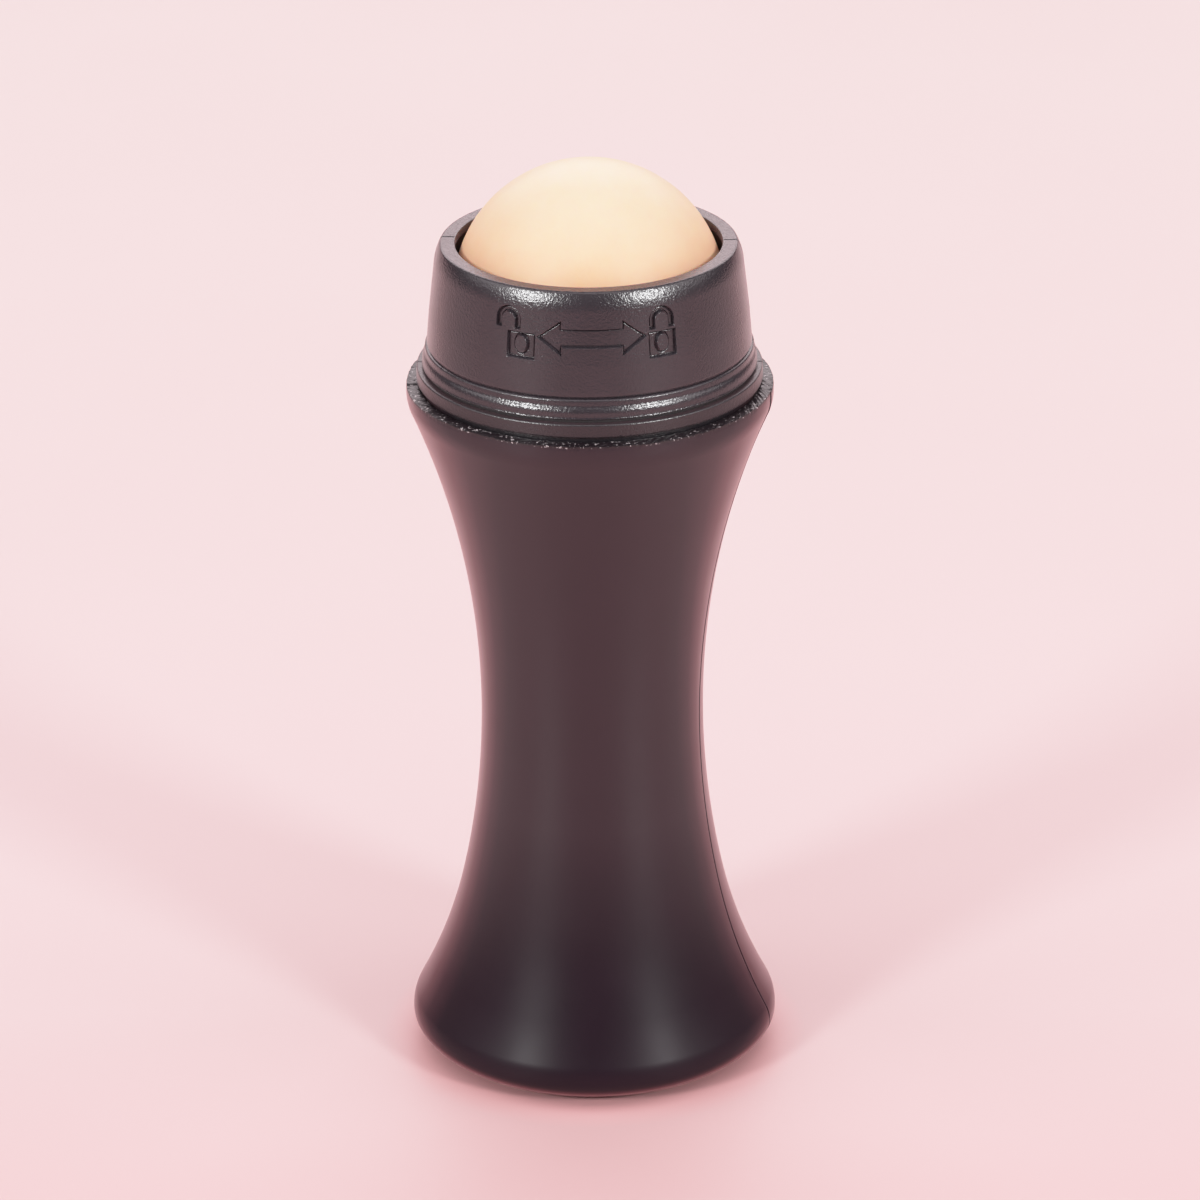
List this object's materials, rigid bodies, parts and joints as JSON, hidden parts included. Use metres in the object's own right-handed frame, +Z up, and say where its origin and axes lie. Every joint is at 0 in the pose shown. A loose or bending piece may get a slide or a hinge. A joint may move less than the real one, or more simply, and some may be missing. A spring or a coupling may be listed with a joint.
{
  "type": "ball face roller",
  "caption": "Face roller: a cream mineral ball that rolls in a cup, held by a twist-lock ring on a waisted black handle that stands on its foot.",
  "frame": {"origin": "centre of the foot, on the surface that the roller stands on", "axes": "+Z up along the handle's axis to the ball; -Y is the front, where the lock icons are"},
  "size_m": [0.0376, 0.0374, 0.0949],
  "materials": {
    "handle_plastic": "satin, with a faint moulded skin",
    "disc_plastic": "matte",
    "collar_plastic": "satin",
    "washer_rubber": "matte silicone rubber",
    "cup_plastic": "smooth, slippery",
    "ring_plastic": "satin side, glossier bead and top edge",
    "liner_plastic": "smooth, slippery",
    "ball_stone": "unglazed, fine pores and faint mottling"
  },
  "bodies": {
    "handle": {"handle_shell": "handle_plastic", "base_disc": "disc_plastic", "bayonet_collar": "collar_plastic", "seal_washer": "washer_rubber", "ball_cup": "cup_plastic"},
    "ring": {"lock_ring": "ring_plastic", "glide_ring": "liner_plastic"},
    "ball": {"stone_ball": "ball_stone"}
  },
  "joints": [
    {"name": "ball_roll", "type": "hinge", "parent": "handle", "child": "ball", "pos_m": [0, 0, 0.08137], "axis": [1, 0, 0], "continuous": true},
    {"name": "ring_twist", "type": "hinge", "parent": "handle", "child": "ring", "pos_m": [0, 0, 0.0765], "axis": [0, 0, 1], "range_deg": [-40, 0]}
  ]
}
